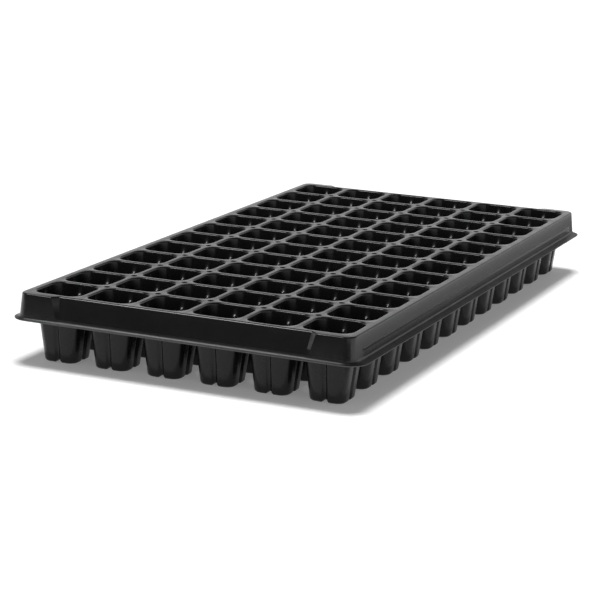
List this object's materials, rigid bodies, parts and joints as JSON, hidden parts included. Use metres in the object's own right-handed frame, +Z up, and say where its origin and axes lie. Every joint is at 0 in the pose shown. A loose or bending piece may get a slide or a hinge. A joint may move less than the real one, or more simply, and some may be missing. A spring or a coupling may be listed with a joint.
{
  "type": "plug tray",
  "caption": "Black thermoformed seedling plug tray: a rectangular deck of square drafted wells with ribbed walls, a shallow skirt with proud corner pads, and a narrow lip.",
  "frame": {"origin": "the surface that the cells stand on, under the middle of the tray", "axes": "+Z up; +Y along the tray's length, from the front short end to the back one; +X across the tray, to the right when it is seen from the front"},
  "size_m": [0.281, 0.5362, 0.0535],
  "materials": {
    "cell_sheet": "semi-gloss black polystyrene, thinned and slightly softer in gloss where it is drawn into the cells",
    "skirt_sheet": "semi-gloss black polystyrene with faint handling scuffs",
    "lip_sheet": "semi-gloss black polystyrene with a paler die-cut edge"
  },
  "bodies": {
    "root": {"cell_row_01": "cell_sheet", "cell_row_02": "cell_sheet", "cell_row_03": "cell_sheet", "cell_row_04": "cell_sheet", "cell_row_05": "cell_sheet", "cell_row_06": "cell_sheet", "cell_row_07": "cell_sheet", "cell_row_08": "cell_sheet", "cell_row_09": "cell_sheet", "cell_row_10": "cell_sheet", "cell_row_11": "cell_sheet", "cell_row_12": "cell_sheet", "side_skirt_left": "skirt_sheet", "side_skirt_right": "skirt_sheet", "end_skirt_front": "skirt_sheet", "end_skirt_back": "skirt_sheet", "corner_pad_front_left": "skirt_sheet", "corner_pad_front_right": "skirt_sheet", "corner_pad_back_left": "skirt_sheet", "corner_pad_back_right": "skirt_sheet", "lip_front": "lip_sheet", "lip_right": "lip_sheet", "lip_back": "lip_sheet", "lip_left": "lip_sheet"}
  },
  "joints": []
}
